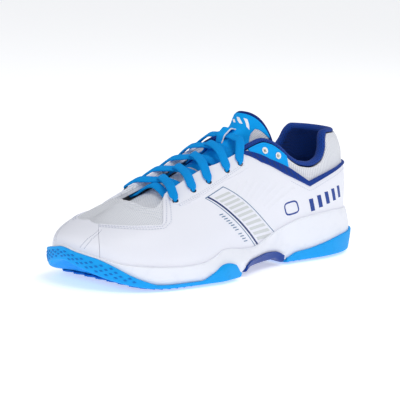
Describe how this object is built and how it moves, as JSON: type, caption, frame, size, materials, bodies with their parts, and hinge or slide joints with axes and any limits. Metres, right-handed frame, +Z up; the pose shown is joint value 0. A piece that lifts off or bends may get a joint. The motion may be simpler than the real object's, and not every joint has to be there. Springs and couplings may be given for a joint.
{
  "type": "court shoe",
  "caption": "Low-cut indoor court shoe: cupped midsole, rubber wrapped up at the toe, mesh vamp, laced throat, padded collar and a padded tongue.",
  "frame": {"origin": "centre of the shoe's own box, on the ground it stands on", "axes": "+X towards the toe, +Y towards the outer (lateral) side of this left shoe, +Z up"},
  "size_m": [0.2924, 0.1076, 0.12],
  "materials": {
    "sky_rubber": "matte moulded rubber",
    "royal_plastic": "satin moulded plastic",
    "white_foam": "satin moulded foam",
    "cushion_foam": "soft foam",
    "fibre_board": "pressed fibre board",
    "insole_cloth": "knit cloth on foam",
    "white_mesh": "open knit mesh",
    "grey_mesh": "ribbed knit mesh",
    "royal_lining": "brushed knit lining",
    "white_lining": "plain lining cloth",
    "padding_foam": "open-cell padding",
    "white_leather": "smooth synthetic leather",
    "sky_leather": "smooth synthetic leather",
    "royal_trim": "satin synthetic leather",
    "navy_binding": "woven binding tape",
    "sky_cloth": "plain weave over foam",
    "sky_lace": "flat woven lace",
    "white_plastic": "moulded eyelet"
  },
  "bodies": {
    "root": {"outsole_forefoot": "sky_rubber", "outsole_heel": "sky_rubber", "shank_plate": "royal_plastic", "midsole": "white_foam", "forefoot_cushion": "cushion_foam", "heel_cushion": "cushion_foam", "strobel_board": "fibre_board", "vamp_mesh": "white_mesh", "quarter_mesh": "grey_mesh", "vamp_lining": "white_lining", "collar_lining": "royal_lining", "collar_foam": "padding_foam", "collar_binding": "royal_lining", "heel_counter": "fibre_board", "toe_puff": "fibre_board", "toe_overlay": "white_leather", "quarter_lateral": "white_leather", "quarter_medial": "white_leather", "eyestay_lateral": "white_leather", "eyestay_medial": "white_leather", "lace_tab_lateral": "sky_leather", "lace_tab_medial": "sky_leather", "trim_band_lateral": "royal_trim", "trim_band_medial": "royal_trim", "tongue_lower": "white_mesh", "lace_keeper": "sky_cloth", "lace": "sky_lace", "eyelet_lateral_6": "white_plastic", "eyelet_lateral_7": "white_plastic", "eyelet_medial_6": "white_plastic", "eyelet_medial_7": "white_plastic"},
    "tongue": {"tongue_upper": "sky_cloth", "tongue_binding": "navy_binding"},
    "footbed": {"insole": "insole_cloth"}
  },
  "joints": [
    {"name": "tongue_flex", "type": "hinge", "parent": "root", "child": "tongue", "pos_m": [-0.0165, -0.0031, 0.105], "axis": [0, 1, 0], "range_deg": [0, 28], "stiffness_Nm_per_rad": 0.3},
    {"name": "insole_lift", "type": "hinge", "parent": "root", "child": "footbed", "pos_m": [0.1351, -0.012, 0.0286], "axis": [0, 1, 0], "range_deg": [0, 3]}
  ]
}
